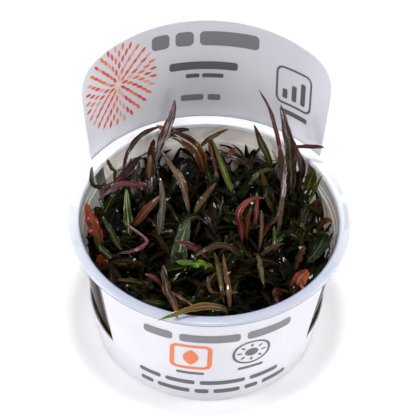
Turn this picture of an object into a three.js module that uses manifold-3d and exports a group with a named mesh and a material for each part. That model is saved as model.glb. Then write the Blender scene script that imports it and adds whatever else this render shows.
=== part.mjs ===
// A tuft of narrow-leaved aquarium plant, grown in clear gel, in a clear cup inside a printed sleeve.
// Millimetres, +Z up. The origin is the middle of the cup's flat base, and the label faces -Y.

import * as THREE from 'three';
import { mergeVertices } from 'three/addons/utils/BufferGeometryUtils.js';
import Module from 'manifold-3d';

// Driving dimensions of the cup
const RIM_RADIUS = 45;
const RIM_INNER_RADIUS = 41.4;
const CUP_HEIGHT = 49.5;
const FLANGE_THICKNESS = 1;
const LIP_DROP = 0.6;
const LIP_WIDTH = 1.3;
const WALL_TOP_RADIUS = 42.4;
const WALL_FOOT_RADIUS = 35.2;
const WALL = 1;
const BASE_THICKNESS = 1.2;
const FOOT_ROUND = 1.5;
const EDGE_ROUND = 0.3;
const CUP_SEGMENTS = 44;

// Driving dimensions of the sleeve, with angles counted from the middle of its front
const SHEET = 0.45;
const SLEEVE_FOOT_Z = 0.6;
const SLEEVE_FOOT_RADIUS = 35.45;
const BAND_TOP_Z = 14;
const FRONT_TOP_Z = 46;
const FRONT_SLOPE = (WALL_TOP_RADIUS - WALL_FOOT_RADIUS) / (CUP_HEIGHT - FLANGE_THICKNESS - FOOT_ROUND);
const BACK_SLOPE = 0.209;
const PANEL_HALF_ANGLE = 54.7;
const FRONT_STEPS = 14;
const WINDOW_STEPS = 8;

// Half of the tall panel's outline: degrees from its middle, and height above the rim
const PANEL_SHOULDER = { side: [52, 22], corner: [51, 29], shoulder: [43, 30.9] };
const PANEL_CROWN = { bend: [24, 34.8], top: [0, 34.8] };
const PANEL_STEPS = { side: 2, corner: 5, crown: 6 };

// Driving dimensions of the contents
const GEL_TOP_Z = 10;
const GEL_EDGE = { rise: 0.8, width: 2, segments: 36 };
const CLEARANCE = 0.35;
const STEM = { radius: 0.9, sides: 6, steps: 4 };
const LEAF_THICKNESS = 0.55;
const LEAF_FOLD = 0.3;
const LEAF_UPWARD = 0.7;
const BIG_LEAF_STEPS = [0, 0.13, 0.33, 0.54, 0.74, 0.9];
const SMALL_LEAF_STEPS = [0, 0.3, 0.6, 0.85];
const STALK_FOOT_Z = 27;
const STALK_RING = 31;

// The crowd of small leaves: the form of its body, and the blades that stand out of it
const MOUND = {
  foot: GEL_TOP_Z + 1.2,
  footRadius: 34.2,
  radius: 36.8,
  crown: 33,
  shoulder: 29,
  edgeDrop: 1.5,
  backDrop: 3,
  peak: 2,
  rings: [0.25, 0.45, 0.63, 0.8, 0.94],
  around: 24,
};
const BLADES = {
  tries: 62,
  ring: 35,
  sunk: 2.5,
  length: 13,
  width: 3.6,
  bend: 0.8,
  sideways: 0.6,
  upright: 0.75,
};

const wasm = await Module();
wasm.setup();

const plant = new THREE.Group();
plant.name = 'tissue_culture_plant';

const finishes = {
  clear: new THREE.MeshStandardMaterial({ color: 0xe8eef0, roughness: 0.08, transparent: true, opacity: 0.35 }),
  sheet: new THREE.MeshStandardMaterial({ color: 0xdfdce4, roughness: 0.45 }),
  gel: new THREE.MeshStandardMaterial({ color: 0x6b5f3c, roughness: 0.15, transparent: true, opacity: 0.7 }),
  stem: new THREE.MeshStandardMaterial({ color: 0x8a6a5a, roughness: 0.35 }),
  crowd: new THREE.MeshStandardMaterial({ color: 0x2c2a1c, roughness: 0.5 }),
  brown: new THREE.MeshStandardMaterial({ color: 0x4a2c22, roughness: 0.35 }),
  mauve: new THREE.MeshStandardMaterial({ color: 0x8a6470, roughness: 0.35 }),
  green: new THREE.MeshStandardMaterial({ color: 0x5f7f2c, roughness: 0.4 }),
  olive: new THREE.MeshStandardMaterial({ color: 0x4e4c30, roughness: 0.4 }),
  orange: new THREE.MeshStandardMaterial({ color: 0xa8502a, roughness: 0.35 }),
  pink: new THREE.MeshStandardMaterial({ color: 0xb06a68, roughness: 0.35 }),
};

function addPiece(name, geometry, finish) {
  const mesh = new THREE.Mesh(geometry, finish);
  mesh.name = name;
  plant.add(mesh);
}

function solidGeometry(points, triangles) {
  const geometry = new THREE.BufferGeometry();
  geometry.setAttribute('position', new THREE.Float32BufferAttribute(points.flat(), 3));
  geometry.setIndex(triangles.flat());
  geometry.computeVertexNormals();
  return geometry;
}

function turned(profile, segments) {
  const points = profile.map(([radius, z]) => new THREE.Vector2(radius, z));
  return new THREE.LatheGeometry(points, segments).rotateX(Math.PI / 2);
}

// The cup's outer wall at a height, from its foot to the underside of the flange
function wallRadius(z) {
  return WALL_FOOT_RADIUS + FRONT_SLOPE * (z - FOOT_ROUND);
}

function cupGeometry() {
  const underFlange = CUP_HEIGHT - FLANGE_THICKNESS;
  const innerFoot = wallRadius(BASE_THICKNESS + FOOT_ROUND) - WALL;
  const halfRound = FOOT_ROUND * (1 - Math.SQRT1_2);
  return turned([
    [0, 0],
    [WALL_FOOT_RADIUS - FOOT_ROUND, 0],
    [WALL_FOOT_RADIUS - halfRound, halfRound],
    [WALL_FOOT_RADIUS, FOOT_ROUND],
    [WALL_TOP_RADIUS, underFlange],
    [RIM_RADIUS - LIP_WIDTH, underFlange],
    [RIM_RADIUS - LIP_WIDTH, underFlange - LIP_DROP],
    [RIM_RADIUS, underFlange - LIP_DROP],
    [RIM_RADIUS, CUP_HEIGHT - EDGE_ROUND],
    [RIM_RADIUS - EDGE_ROUND, CUP_HEIGHT],
    [RIM_INNER_RADIUS + EDGE_ROUND, CUP_HEIGHT],
    [RIM_INNER_RADIUS, CUP_HEIGHT - EDGE_ROUND],
    [innerFoot, BASE_THICKNESS + FOOT_ROUND],
    [innerFoot - FOOT_ROUND, BASE_THICKNESS],
    [0, BASE_THICKNESS],
  ], CUP_SEGMENTS);
}

// The sheet's inner face lies along the cup in front and leans out past the rim behind
function sleeveRadius(degrees, z) {
  const fromFront = Math.abs(THREE.MathUtils.euclideanModulo(degrees + 180, 360) - 180);
  const lean = THREE.MathUtils.smoothstep(fromFront, PANEL_HALF_ANGLE, 180 - PANEL_HALF_ANGLE);
  return SLEEVE_FOOT_RADIUS + THREE.MathUtils.lerp(FRONT_SLOPE, BACK_SLOPE, lean) * z;
}

// Half of the tall panel's outline, from its side up over the shoulder to the middle of its crown
function panelOutline() {
  const point = ([degrees, height]) => new THREE.Vector2(degrees, height);
  const foot = new THREE.Vector2(PANEL_HALF_ANGLE, 0);
  const side = point(PANEL_SHOULDER.side);
  const shoulder = point(PANEL_SHOULDER.shoulder);
  const corner = new THREE.QuadraticBezierCurve(side, point(PANEL_SHOULDER.corner), shoulder);
  const crown = new THREE.QuadraticBezierCurve(shoulder, point(PANEL_CROWN.bend), point(PANEL_CROWN.top));
  return [
    ...new THREE.LineCurve(foot, side).getPoints(PANEL_STEPS.side),
    ...corner.getPoints(PANEL_STEPS.corner).slice(1),
    ...crown.getPoints(PANEL_STEPS.crown).slice(1),
  ];
}

// Columns of the sheet round the cup. Each has an angle and the height of its top edge, and it is open where
// nothing but the band joins it to the next.
function sleeveColumns() {
  const front = [];
  for (let k = 0; k <= FRONT_STEPS; k += 1) {
    const degrees = PANEL_HALF_ANGLE * (2 * k / FRONT_STEPS - 1);
    front.push({ degrees, top: FRONT_TOP_Z, open: k === FRONT_STEPS });
  }
  const window = [];
  for (let k = 1; k < WINDOW_STEPS; k += 1) {
    const degrees = THREE.MathUtils.lerp(PANEL_HALF_ANGLE, 180 - PANEL_HALF_ANGLE, k / WINDOW_STEPS);
    window.push({ degrees, top: BAND_TOP_Z, open: true });
  }
  const outline = panelOutline();
  const right = outline.map((p) => ({ degrees: 180 - p.x, top: CUP_HEIGHT + p.y, open: false }));
  const left = right.slice(0, -1).reverse().map((column) => ({ ...column, degrees: 360 - column.degrees }));
  left.at(-1).open = true;
  const otherWindow = window.map((column) => ({ ...column, degrees: column.degrees + 180 }));
  return [...front, ...window, ...right, ...left, ...otherWindow];
}

// Heights of a column's points: foot and top of the band, a line level with the rim or lower, and its top edge
function columnHeights(top) {
  const middle = Math.min(CUP_HEIGHT, (BAND_TOP_Z + FRONT_TOP_Z) / 2 + (top - FRONT_TOP_Z));
  return [SLEEVE_FOOT_Z, BAND_TOP_Z, top > BAND_TOP_Z ? middle : BAND_TOP_Z, top];
}

// The sheet is a grid of cells, one row in the closed band and two in the panels. An open column has no cell
// above the band. Every edge of a cell with no neighbour gets a narrow face through the sheet.
function sleeveGeometry() {
  const columns = sleeveColumns();
  const lines = 4;
  const points = [];
  const triangles = [];
  for (const { degrees, top } of columns) {
    const angle = THREE.MathUtils.degToRad(degrees);
    for (const z of columnHeights(top)) {
      const inner = sleeveRadius(degrees, z);
      for (const radius of [inner, inner + SHEET]) {
        points.push([radius * Math.sin(angle), -radius * Math.cos(angle), z]);
      }
    }
  }
  const index = (column, line, layer) => ((column % columns.length) * lines + line) * 2 + layer;
  const present = (column, row) => {
    if (row < 0 || row > lines - 2) return false;
    return row === 0 || !columns[(column + columns.length) % columns.length].open;
  };
  const quad = (a, b, c, d) => triangles.push([a, b, c], [a, c, d]);
  columns.forEach((column, i) => {
    for (let row = 0; row < lines - 1; row += 1) {
      if (!present(i, row)) continue;
      const corner = (across, up, layer) => index(i + across, row + up, layer);
      quad(corner(0, 0, 1), corner(1, 0, 1), corner(1, 1, 1), corner(0, 1, 1));
      quad(corner(0, 0, 0), corner(0, 1, 0), corner(1, 1, 0), corner(1, 0, 0));
      if (!present(i, row - 1)) quad(corner(0, 0, 0), corner(1, 0, 0), corner(1, 0, 1), corner(0, 0, 1));
      if (!present(i, row + 1)) quad(corner(0, 1, 0), corner(0, 1, 1), corner(1, 1, 1), corner(1, 1, 0));
      if (!present(i - 1, row)) quad(corner(0, 0, 0), corner(0, 0, 1), corner(0, 1, 1), corner(0, 1, 0));
      if (!present(i + 1, row)) quad(corner(1, 0, 0), corner(1, 1, 0), corner(1, 1, 1), corner(1, 0, 1));
    }
  });
  return solidGeometry(points, triangles);
}

// The gel fills the bottom of the cup and climbs a little where it meets the wall
function gelGeometry() {
  const foot = wallRadius(BASE_THICKNESS + FOOT_ROUND) - WALL - CLEARANCE;
  const edge = wallRadius(GEL_TOP_Z + GEL_EDGE.rise) - WALL - CLEARANCE;
  return turned([
    [0, BASE_THICKNESS + CLEARANCE],
    [foot - FOOT_ROUND, BASE_THICKNESS + CLEARANCE],
    [foot, BASE_THICKNESS + CLEARANCE + FOOT_ROUND],
    [edge, GEL_TOP_Z + GEL_EDGE.rise],
    [edge - GEL_EDGE.width, GEL_TOP_Z],
    [0, GEL_TOP_Z],
  ], GEL_EDGE.segments);
}

// Shoots stand in the gel: foot and head of each, with a bend at mid height
const SHOOTS = [
  { foot: [-19, 20], bend: [-1, 2], head: [-21, 24, 37] },
  { foot: [-5, 22], bend: [1, 1], head: [-4, 26, 36] },
  { foot: [9, 16], bend: [-1, 2], head: [11, 25, 32] },
  { foot: [22, 15], bend: [1, 1], head: [26, 18, 37] },
  { foot: [-25, 2], bend: [1, 0], head: [-27, 6, 36] },
  { foot: [-8, 1], bend: [1, 1], head: [-12, 4, 38] },
  { foot: [7, -1], bend: [-1, -1], head: [6, 3, 36] },
  { foot: [18, 1], bend: [1, -1], head: [24, 8, 49] },
  { foot: [-14, -16], bend: [1, 0], head: [-18, -12, 34] },
  { foot: [14, -16], bend: [0, 1], head: [17, -17, 34] },
];

function shootCurve({ foot, bend, head }) {
  const bottom = new THREE.Vector3(foot[0], foot[1], GEL_TOP_Z + CLEARANCE);
  const top = new THREE.Vector3(...head);
  const middle = bottom.clone().lerp(top, 0.5).add(new THREE.Vector3(bend[0], bend[1], 0));
  return new THREE.CatmullRomCurve3([bottom, middle, top]);
}

// A stem has a section with flat sides, so its corners move out further than the clearance that its sides get
function stemGeometry(shoot, clearance = 0) {
  const radius = STEM.radius + clearance / Math.cos(Math.PI / STEM.sides) ** 2;
  const section = new THREE.Shape();
  for (let k = 0; k < STEM.sides; k += 1) {
    const angle = 2 * Math.PI * k / STEM.sides;
    const corner = [radius * Math.cos(angle), radius * Math.sin(angle)];
    if (k) section.lineTo(...corner);
    else section.moveTo(...corner);
  }
  const along = { steps: STEM.steps, extrudePath: shootCurve(shoot), bevelEnabled: false };
  return new THREE.ExtrudeGeometry(section, along);
}

function toManifold(geometry) {
  const bare = geometry.clone();
  bare.deleteAttribute('normal');
  bare.deleteAttribute('uv');
  const merged = mergeVertices(bare, 1e-4);
  return new wasm.Manifold(new wasm.Mesh({
    numProp: 3,
    vertProperties: new Float32Array(merged.attributes.position.array),
    triVerts: new Uint32Array(merged.index.array),
  }));
}

function fromManifold(solid) {
  const mesh = solid.getMesh();
  const geometry = new THREE.BufferGeometry();
  geometry.setAttribute('position', new THREE.BufferAttribute(mesh.vertProperties, 3));
  geometry.setIndex(new THREE.BufferAttribute(mesh.triVerts, 1));
  geometry.computeVertexNormals();
  return geometry;
}

// Height of the crowd of small leaves at a share of its radius, before its peaks. It is lower at the back.
function domeHeight(share, angle) {
  const back = MOUND.backDrop * Math.max(0, Math.sin(angle)) * share;
  return THREE.MathUtils.lerp(MOUND.crown, MOUND.shoulder, share * share) - back;
}

// Peaks and hollows in the crowd, uneven from one point to the next
function domePeak(around, ring) {
  return MOUND.peak * Math.sin(around * 2.9 + ring * 1.7) * Math.cos(around * 0.8 + ring * 2.3);
}

// The body of the crowd: rings of points from its middle out, then its edge and its foot
function domeGeometry() {
  const { around } = MOUND;
  const points = [[0, 0, MOUND.foot], [0, 0, MOUND.crown]];
  const triangles = [];
  const ring = (radius, height) => {
    const start = points.length;
    for (let k = 0; k < around; k += 1) {
      const angle = 2 * Math.PI * k / around;
      points.push([radius * Math.cos(angle), radius * Math.sin(angle), height(k, angle)]);
    }
    return start;
  };
  const starts = MOUND.rings.map((share, r) => (
    ring(MOUND.radius * share, (k, angle) => domeHeight(share, angle) + domePeak(k, r))
  ));
  starts.push(ring(MOUND.radius, (k, angle) => domeHeight(1, angle) - MOUND.edgeDrop));
  starts.push(ring(MOUND.footRadius, () => MOUND.foot));
  for (let k = 0; k < around; k += 1) {
    const next = (k + 1) % around;
    triangles.push([1, starts[0] + k, starts[0] + next]);
    for (let r = 0; r + 1 < starts.length; r += 1) {
      triangles.push([starts[r] + k, starts[r + 1] + k, starts[r + 1] + next]);
      triangles.push([starts[r] + k, starts[r + 1] + next, starts[r] + next]);
    }
    triangles.push([0, starts.at(-1) + next, starts.at(-1) + k]);
  }
  return solidGeometry(points, triangles);
}

// One of the small leaves that stand out of the crowd, spread evenly over it by the golden angle. Their
// lengths, leans and widths vary by sines that don't keep step with each other.
function bladeShape(k) {
  const angle = k * Math.PI * (3 - Math.sqrt(5));
  const share = Math.sqrt((k + 0.5) / BLADES.tries);
  const radius = BLADES.ring * share;
  const lean = angle + 1.3 * Math.sin(k * 1.7);
  const length = BLADES.length * (1 + 0.3 * Math.sin(k * 2.3));
  const reach = length * (BLADES.sideways + 0.3 * Math.cos(k * 1.1)) * (1 - BLADES.upright * share);
  const root = [radius * Math.cos(angle), radius * Math.sin(angle), domeHeight(share, angle) - BLADES.sunk];
  const tip = [root[0] + reach * Math.cos(lean), root[1] + reach * Math.sin(lean), root[2] + length];
  const middle = root.map((value, axis) => (value + tip[axis]) / 2 + (axis === 2 ? BLADES.bend : 0));
  const face = (k * 67) % 120 - 60;
  const width = BLADES.width * (1 + 0.25 * Math.cos(k * 3.1));
  return { root, middle, tip, width, face, stalked: false };
}

// The crowd with its small leaves joined on, and with room in it for the shoots and the big leaves' stalks.
// A crumb that the cuts leave loose is dropped.
function crowdGeometry() {
  const shoots = SHOOTS.map((shoot) => toManifold(stemGeometry(shoot, CLEARANCE)));
  const leaves = LEAVES.map((leaf) => toManifold(leafGeometry(leaf, CLEARANCE)));
  const keepClear = [...shoots, ...leaves];
  let crowd = toManifold(domeGeometry());
  for (let k = 0; k < BLADES.tries; k += 1) {
    const blade = toManifold(leafGeometry(bladeShape(k)));
    const blocked = keepClear.some((body) => !body.intersect(blade).isEmpty());
    if (!blocked) crowd = crowd.add(blade);
  }
  for (const body of keepClear) crowd = crowd.subtract(body);
  const bodies = crowd.decompose().sort((a, b) => b.volume() - a.volume());
  return fromManifold(bodies[0]);
}

// The big leaves: name, base of the blade, a point half way along it, its tip, its greatest width, the way its
// upper side faces in degrees round from the front, and its finish. A narrow stalk runs from the base down into
// the crowd.
const LEAVES = [
  ['tall_left', [-16, 28, 42], [-12, 34, 55], [-10, 38, 66], 2.4, -10, 'mauve'],
  ['arched_left', [-27, 27, 42], [-23, 31, 51], [-15, 35, 54], 2, -30, 'brown'],
  ['yellow_tipped', [0, 29, 38], [-6, 34, 48], [-16, 38, 52], 4, 0, 'orange'],
  ['upright_left', [-18, 20, 40], [-19, 23, 49], [-17, 28, 56], 2.2, 10, 'brown'],
  ['hooked', [-31, 18, 43], [-35, 14, 51], [-37, 16, 57], 1.8, -60, 'brown'],
  ['small_back_left', [-31, 23, 41], [-31, 23, 47], [-32, 22, 53], 1.8, -30, 'brown'],
  ['magenta', [-20, 16, 45], [-28, 13, 50], [-35, 10, 47], 2.4, -20, 'pink'],
  ['long_mauve', [-7, 12, 36], [-9, 17, 47], [-14, 26, 51], 2.8, 10, 'mauve'],
  ['orange_middle', [-23, 8, 36], [-20, 10, 43], [-14, 15, 45], 3.4, -20, 'orange'],
  ['brown_middle', [-3, 8, 40], [-1, 13, 44], [3, 19, 45], 2.4, 20, 'brown'],
  ['broad_left', [-35, -5, 41], [-37, -3, 49], [-39, 2, 54], 4.4, -30, 'orange'],
  ['green_striped', [-29, 1, 34], [-31, 2, 42], [-34, 6, 46], 2.8, 0, 'green'],
  ['curled_pink', [-29, -6, 40], [-20, -5, 45], [-27, -1, 49], 2, 0, 'pink'],
  ['broad_grey', [-11, -13, 30], [-8, -5, 39], [-6, 5, 42], 6, 10, 'olive'],
  ['green_upright', [9, 21, 33], [6, 28, 42], [2, 34, 50], 2.4, 10, 'green'],
  ['thin_back', [3, 28, 36], [2, 32, 42], [0, 36, 49], 1.3, 0, 'green'],
  ['green_right', [21, 29, 40], [19, 33, 47], [16, 37, 54], 1.8, 10, 'green'],
  ['tallest', [27, 23, 38], [26, 26, 52], [24, 33, 66], 4.2, 10, 'mauve'],
  ['thin_mauve', [22, 27, 43], [21, 33, 56], [17, 37, 69], 1.8, 10, 'pink'],
  ['level_red', [30, 24, 53], [34, 23, 56], [38, 22, 57], 1.6, 20, 'brown'],
  ['dark_striped', [31, 20, 39], [30, 19, 49], [29, 20, 58], 2.2, 30, 'olive'],
  ['rounded_olive', [33, 16, 42], [34, 15, 48], [35, 17, 52], 3, 40, 'olive'],
  ['small_green_right', [33, 9, 44], [34, 9, 51], [37, 10, 56], 1.6, 40, 'green'],
  ['arched_grey', [13, 18, 37], [16, 21, 46], [23, 22, 46], 2.6, 10, 'olive'],
  ['olive_upright', [22, 12, 34], [20, 14, 44], [17, 18, 50], 2.8, 0, 'olive'],
  ['coral_curl', [11, 3, 38], [11, 6, 47], [17, 8, 48], 2.6, 0, 'pink'],
  ['pink_upright', [15, 8, 34], [16, 10, 40], [16, 13, 45], 1.6, 0, 'pink'],
  ['orange_right', [33, 0, 40], [36, -1, 47], [39, -4, 51], 2.6, 50, 'orange'],
  ['rounded_dark', [33, -9, 36], [35, -8, 44], [37, -9, 50], 4, 50, 'brown'],
  ['dark_magenta', [-1, -8, 40], [-6, -11, 47], [-11, -9, 48], 2.6, 0, 'pink'],
  ['arched_green', [-3, -11, 34], [5, -10, 45], [11, -13, 40], 2.4, 0, 'green'],
  ['bright_green', [1, -13, 37], [-4, -16, 43], [-10, -15, 44], 2.2, 0, 'green'],
  ['front_upright', [4, -18, 33], [4, -17, 40], [2, -15, 47], 2.6, 0, 'brown'],
  ['front_long', [-17, -11, 38], [-14, -25, 43], [-12, -38, 44], 3, 0, 'brown'],
  ['over_rim', [5, -33, 41], [-5, -39, 52], [-18, -45, 51.5], 2.4, 0, 'green'],
  ['small_pink', [-19, -15, 36], [-20, -18, 41], [-22, -20, 44], 1.6, -10, 'pink'],
  ['short_brown', [2, -23, 36], [5, -25, 41], [9, -27, 42], 2.2, 0, 'brown'],
  ['folded_salmon', [28, -22, 37], [29, -20, 42], [30, -17, 47], 5.4, 30, 'orange'],
  ['rounded_mauve', [20, -27, 36], [21, -26, 41], [23, -23, 45], 5.4, 20, 'mauve'],
  ['mauve_right', [26, -10, 35], [28, -12, 41], [29, -12, 47], 2.6, 20, 'mauve'],
  ['brown_right', [17, -8, 38], [20, -9, 44], [24, -7, 45], 2.4, 0, 'brown'],
  ['brown_pink', [17, 2, 39], [19, 3, 43], [21, 5, 47], 2, 10, 'pink'],
  ['thin_brown', [14, -4, 39], [14, -3, 45], [13, 1, 50], 1.4, 0, 'brown'],
  ['small_orange', [-31, -13, 40], [-33, -14, 44], [-35, -16, 47], 2.4, -30, 'orange'],
  ['green_low', [-26, -10, 35], [-31, -11, 40], [-35, -9, 43], 2.4, -10, 'green'],
  ['upright_front_left', [-25, -14, 34], [-26, -19, 40], [-26, -24, 46], 2.4, -20, 'brown'],
].map(([name, root, middle, tip, width, face, finish]) => (
  { name: `leaf_${name}`, root, middle, tip, width, face, finish, stalked: true }
));

// Half width of a leaf along its length: a narrow base, widest a third of the way up, and a fine point
function leafShare(t) {
  return Math.sin(Math.PI * (0.03 + 0.97 * t) ** 0.7) ** 0.75;
}

// The line that a leaf follows: the stalk of a stalked leaf first, then the bend of its blade
function leafSpine({ root, middle, tip, stalked }) {
  const base = new THREE.Vector3(...root);
  const end = new THREE.Vector3(...tip);
  const halfWay = new THREE.Vector3().addVectors(base, end).multiplyScalar(0.5);
  const bend = new THREE.Vector3(...middle).multiplyScalar(2).sub(halfWay);
  const blade = new THREE.QuadraticBezierCurve3(base, bend, end);
  const stations = (stalked ? BIG_LEAF_STEPS : SMALL_LEAF_STEPS).map((t) => (
    { centre: blade.getPoint(t), along: blade.getTangent(t), share: leafShare(t) }
  ));
  if (stalked) {
    const foot = new THREE.Vector3(root[0], root[1], 0).clampLength(0, STALK_RING).setZ(STALK_FOOT_Z);
    const along = base.clone().sub(foot).normalize();
    stations.unshift({ centre: foot, along, share: leafShare(0) });
  }
  return { stations, end };
}

// A leaf is a shallow V across: its two edges stand a little above its midrib. A clearance fattens it.
function leafGeometry(leaf, clearance = 0) {
  const { stations, end } = leafSpine(leaf);
  const turn = THREE.MathUtils.degToRad(leaf.face);
  const facing = new THREE.Vector3(Math.sin(turn), -Math.cos(turn), LEAF_UPWARD);
  const points = [];
  const triangles = [];
  stations.forEach(({ centre, along, share }, s) => {
    const up = facing.clone().addScaledVector(along, -facing.dot(along)).normalize();
    const side = new THREE.Vector3().crossVectors(up, along);
    const half = leaf.width / 2 * share;
    const thick = LEAF_THICKNESS / 2 + clearance;
    const middle = centre.clone().addScaledVector(along, s ? 0 : -clearance);
    const corner = (across, rise) => (
      middle.clone().addScaledVector(side, across).addScaledVector(up, rise).toArray()
    );
    points.push(
      corner(half + clearance, half * LEAF_FOLD),
      corner(0, thick),
      corner(-half - clearance, half * LEAF_FOLD),
      corner(0, -thick),
    );
  });
  points.push(end.clone().addScaledVector(stations.at(-1).along, clearance).toArray());
  const last = points.length - 1;
  for (let s = 0; s < stations.length; s += 1) {
    for (let k = 0; k < 4; k += 1) {
      const here = 4 * s + k;
      const beside = 4 * s + (k + 1) % 4;
      if (s + 1 < stations.length) triangles.push([here, beside, beside + 4], [here, beside + 4, here + 4]);
      else triangles.push([here, beside, last]);
    }
  }
  triangles.push([0, 3, 1], [1, 3, 2]);
  return solidGeometry(points, triangles);
}

addPiece('cup', cupGeometry(), finishes.clear);
addPiece('sleeve', sleeveGeometry(), finishes.sheet);
addPiece('culture_gel', gelGeometry(), finishes.gel);
addPiece('low_leaves', crowdGeometry(), finishes.crowd);
SHOOTS.forEach((shoot, k) => addPiece(`stem_${k + 1}`, stemGeometry(shoot), finishes.stem));
for (const leaf of LEAVES) addPiece(leaf.name, leafGeometry(leaf), finishes[leaf.finish]);

export default plant;
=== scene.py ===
"""A tuft of narrow-leaved aquarium plant in a clear cup with a printed sleeve, dressed round its frame.

Lengths are in millimetres and become metres in a mesh. The label faces -Y and the cup stands on z = 0.
"""

import random
from math import atan2, cos, degrees, hypot, pi, radians, sin, sqrt

import bpy
from mathutils import Matrix, Vector, noise


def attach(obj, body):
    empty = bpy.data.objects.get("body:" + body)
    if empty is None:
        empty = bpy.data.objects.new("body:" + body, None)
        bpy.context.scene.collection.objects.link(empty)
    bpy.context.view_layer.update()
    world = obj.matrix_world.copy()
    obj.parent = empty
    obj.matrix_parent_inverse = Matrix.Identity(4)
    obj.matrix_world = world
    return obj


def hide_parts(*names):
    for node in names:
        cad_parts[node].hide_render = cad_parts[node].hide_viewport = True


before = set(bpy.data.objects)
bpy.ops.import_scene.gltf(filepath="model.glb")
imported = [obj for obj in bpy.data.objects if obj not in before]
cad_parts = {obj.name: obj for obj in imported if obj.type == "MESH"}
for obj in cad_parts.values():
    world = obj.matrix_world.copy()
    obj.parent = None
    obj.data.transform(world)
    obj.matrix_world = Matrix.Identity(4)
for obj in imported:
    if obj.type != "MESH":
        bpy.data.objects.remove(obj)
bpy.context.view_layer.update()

MM = 0.001
SHARP_ANGLE = 50

# Camera: it aims at a point over the tuft
VIEW_DISTANCE = 700
VIEW_AZIMUTH = -3.9
VIEW_ELEVATION = 47.1
VIEW_ROLL = 1.95
VIEW_AIM = Vector((0.14, 0, 51.9))
SENSOR_WIDTH = 36
LENS = 189.5
FLOOR_HALF = 3000

# Cup. Its wall is misted behind the sheet, and in front a little past the sheet's left and right edge
RIM_RADIUS = 45
RIM_INNER_RADIUS = 41.4
CUP_HEIGHT = 49.5
FLANGE_THICKNESS = 1
LIP_DROP = 0.6
LIP_WIDTH = 1.3
WALL_TOP_RADIUS = 42.4
WALL_FOOT_RADIUS = 35.2
WALL = 1
BASE_THICKNESS = 1.2
FOOT_ROUND = 1.5
EDGE_ROUND = 0.35
INNER_FACE_Z = 47.5
WALL_LEDGE_Z = 42.6
WALL_LEDGE = 0.25
THIN_RING_RADIUS = 43.6
MIST_PAST_SHEET = (1, 0.6)
# How far in degrees the painted highlight on the clear wall reaches past each edge of the sheet
PAINTED_HIGHLIGHT_PAST_SHEET = 5.5
STEP_WIDTH = 1.4
STEP_DEPTH = 0.22
UNDER_FLANGE = CUP_HEIGHT - FLANGE_THICKNESS
WALL_SLOPE = (WALL_TOP_RADIUS - WALL_FOOT_RADIUS) / (UNDER_FLANGE - FOOT_ROUND)
CUP_SEGMENTS = 192

# Sleeve, with angles counted from the middle of its front
SHEET = 0.45
SLEEVE_FOOT_Z = 0.6
SLEEVE_FOOT_RADIUS = 35.45
BAND_TOP_Z = 14
FRONT_TOP_Z = 46
BACK_SLOPE = 0.209
PANEL_HALF_ANGLE = 54.7
PANEL_SIDE = (52, 22)
PANEL_CORNER = (51, 29)
PANEL_SHOULDER = (43, 30.9)
PANEL_BEND = (24, 34.8)
PANEL_TOP = (0, 34.8)

# Contents
GEL_TOP_Z = 10
GEL_EDGE_RISE = 0.8
GEL_EDGE_WIDTH = 2
CLEARANCE = 0.35
STEM_RADIUS = 0.9
STALK_FOOT_Z = 27
STALK_RING = 31
LEAF_THICKNESS = 0.42
LEAF_FOLD = 0.3
LEAF_UPWARD = 0.7
EDGE_UNEVEN = 0.3
UP = Vector((0, 0, 1))

# The crowd of small leaves low in the tuft, with shoots all over the gel and, at the edge, beside the wall
CROWD_SHOOTS = 84
CROWD_FOOT_RING = 30
CROWD_HEAD_RING = 36
CROWD_TOP = 40.5
CROWD_BACK_RISE = 3.5
EDGE_SHOOTS = 32
EDGE_FOOT_RING = 33
EDGE_HEAD_RING = 38
HOLLOWS = [((-12, -17), 9, 9), ((-23, -19), 7, 6)]
GOLDEN_ANGLE = pi * (3 - sqrt(5))

# The crowd's palettes and how often each comes, others given painted shade low down, and the leaves'
# brightness
CROWD_PALETTES = ("crowd_green", "crowd_brown", "crowd_black", "crowd_mauve")
CROWD_SHARES = (0, 0, 1, 1, 2, 2, 2, 2, 3)
DULL_PALETTES = ("glossy_black", "dark_purple")
CROWD_VALUE = 0.4
LEAF_VALUE = 0.78


def rgb(code):
    """The linear colour of a six-digit colour code."""
    shares = [int(code[k:k + 2], 16) / 255 for k in (0, 2, 4)]
    return tuple(s / 12.92 if s <= 0.04045 else ((s + 0.055) / 1.055) ** 2.4 for s in shares) + (1,)


def mix(a, b, share):
    return a + (b - a) * share


def lerp(p, q, share):
    """The point at a share of the way from p to q."""
    return tuple(mix(a, b, share) for a, b in zip(p, q))


def smoothstep(value, low, high):
    t = min(1, max(0, (value - low) / (high - low)))
    return t * t * (3 - 2 * t)


def outward(angle):
    """The level direction at an angle."""
    return Vector((cos(angle), sin(angle), 0))


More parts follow.
